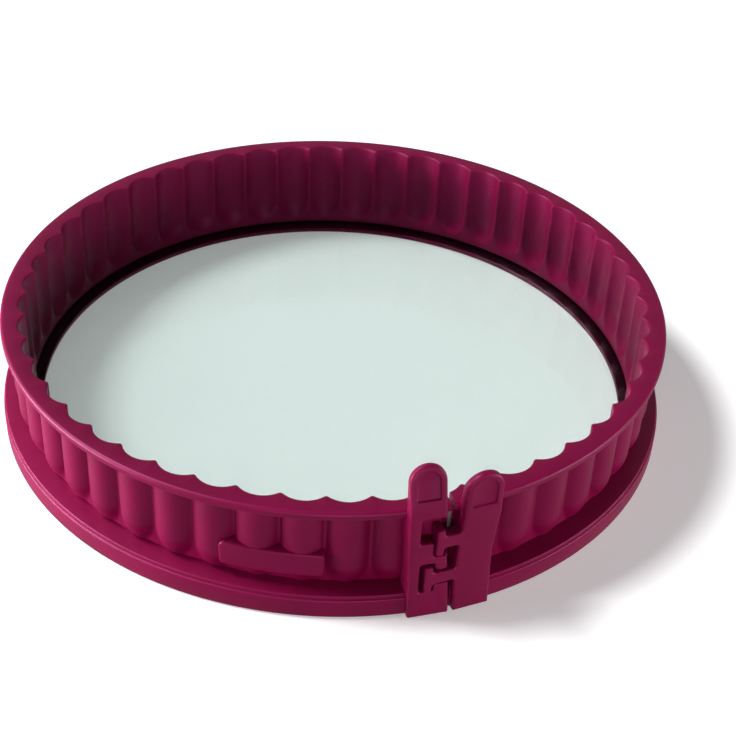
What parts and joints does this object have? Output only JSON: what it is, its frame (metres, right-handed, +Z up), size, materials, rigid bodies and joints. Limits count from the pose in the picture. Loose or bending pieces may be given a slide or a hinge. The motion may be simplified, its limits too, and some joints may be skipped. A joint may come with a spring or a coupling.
{
  "type": "quiche pan",
  "caption": "Round fluted silicone quiche pan with an interlocking clasp and a removable flat glass base plate.",
  "frame": {"origin": "on the pan's axis, in the plane that it stands on", "axes": "+Z up, -Y towards the clasp, +X to the right of the clasp as it is seen from outside"},
  "size_m": [0.309, 0.3125, 0.0749],
  "materials": {
    "silicone": "satin moulded silicone, deep berry",
    "plate_glass": "clear polished glass"
  },
  "bodies": {
    "root": {"silicone_ring": "silicone", "base_plate": "plate_glass"}
  },
  "joints": []
}
